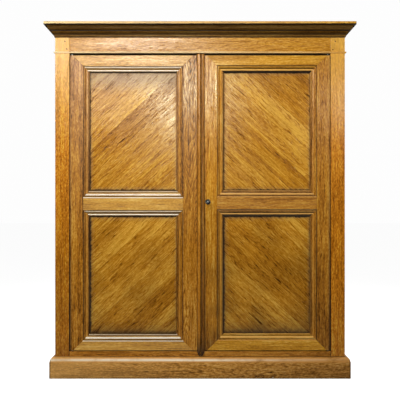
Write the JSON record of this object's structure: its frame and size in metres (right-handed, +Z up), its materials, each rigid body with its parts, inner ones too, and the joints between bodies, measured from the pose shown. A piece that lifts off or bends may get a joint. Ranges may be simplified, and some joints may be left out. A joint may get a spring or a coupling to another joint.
{
  "type": "notary cabinet",
  "caption": "Tall oak notary cabinet: moulded plinth and cornice, panelled doors with diagonal grain on pivot pins, shelves, rim lock with key and rod bolts.",
  "frame": {"origin": "on the floor, in the middle of the cabinet's box", "axes": "+Z up, -Y out of the front, +X to the right as seen from the front"},
  "size_m": [1.92, 0.56, 2.2],
  "materials": {
    "carcass_oak": "waxed oak, satin",
    "door_oak": "waxed oak, satin",
    "panel_oak": "waxed oak with diagonal grain",
    "inside_oak": "bare sawn oak",
    "iron": "dark worn iron"
  },
  "bodies": {
    "carcass": {"plinth_front": "carcass_oak", "plinth_left": "carcass_oak", "plinth_right": "carcass_oak", "front_post_left": "carcass_oak", "front_post_right": "carcass_oak", "rear_post_left": "carcass_oak", "rear_post_right": "carcass_oak", "frieze_rail": "carcass_oak", "bottom_rail": "carcass_oak", "side_top_rail_left": "carcass_oak", "side_mid_rail_left": "carcass_oak", "side_bottom_rail_left": "carcass_oak", "side_upper_panel_left": "panel_oak", "side_lower_panel_left": "panel_oak", "side_top_rail_right": "carcass_oak", "side_mid_rail_right": "carcass_oak", "side_bottom_rail_right": "carcass_oak", "side_upper_panel_right": "panel_oak", "side_lower_panel_right": "panel_oak", "back_panel_left": "inside_oak", "back_panel_right": "inside_oak", "back_muntin": "inside_oak", "floor_board": "inside_oak", "top_board": "inside_oak", "shelf_lower": "inside_oak", "shelf_middle": "inside_oak", "shelf_upper": "inside_oak", "cornice_front": "carcass_oak", "cornice_left": "carcass_oak", "cornice_right": "carcass_oak", "bead_front": "carcass_oak", "bead_left": "carcass_oak", "bead_right": "carcass_oak", "pivot_left_lower": "iron", "pivot_left_upper": "iron", "pivot_right_lower": "iron", "pivot_right_upper": "iron"},
    "left_door": {"left_door_hanging_stile": "door_oak", "left_door_meeting_stile": "door_oak", "left_door_top_rail": "door_oak", "left_door_mid_rail": "door_oak", "left_door_bottom_rail": "door_oak", "left_door_upper_panel": "panel_oak", "left_door_lower_panel": "panel_oak", "left_door_astragal": "door_oak", "lock_keeper": "iron"},
    "right_door": {"right_door_hanging_stile": "door_oak", "right_door_meeting_stile": "door_oak", "right_door_top_rail": "door_oak", "right_door_mid_rail": "door_oak", "right_door_bottom_rail": "door_oak", "right_door_upper_panel": "panel_oak", "right_door_lower_panel": "panel_oak", "right_door_astragal": "door_oak", "lock_case": "iron", "escutcheon": "iron"},
    "key": {"key": "iron"},
    "lock_bolt": {"lock_bolt": "iron"},
    "rod_bolt_upper": {"rod_bolt_upper": "iron"},
    "rod_bolt_lower": {"rod_bolt_lower": "iron"}
  },
  "joints": [
    {"name": "left_door_swing", "type": "hinge", "parent": "carcass", "child": "left_door", "pos_m": [-0.794, -0.213, 0.168], "axis": [0, 0, -1], "range_deg": [0, 110]},
    {"name": "right_door_swing", "type": "hinge", "parent": "carcass", "child": "right_door", "pos_m": [0.794, -0.213, 0.168], "axis": [0, 0, 1], "range_deg": [0, 110]},
    {"name": "key_turn", "type": "hinge", "parent": "right_door", "child": "key", "pos_m": [0.049, -0.2243, 1.091], "axis": [0, -1, 0], "range_deg": [0, 180]},
    {"name": "lock_bolt_slide", "type": "slide", "parent": "right_door", "child": "lock_bolt", "axis": [-1, 0, 0], "range_m": [0, 0.017]},
    {"name": "rod_bolt_upper_slide", "type": "slide", "parent": "left_door", "child": "rod_bolt_upper", "axis": [0, 0, 1], "range_m": [0, 0.018]},
    {"name": "rod_bolt_lower_slide", "type": "slide", "parent": "left_door", "child": "rod_bolt_lower", "axis": [0, 0, -1], "range_m": [0, 0.018]}
  ],
  "couplings": [
    {"joint": "lock_bolt_slide", "follows": "key_turn", "m_per_rad": 0.0052}
  ]
}
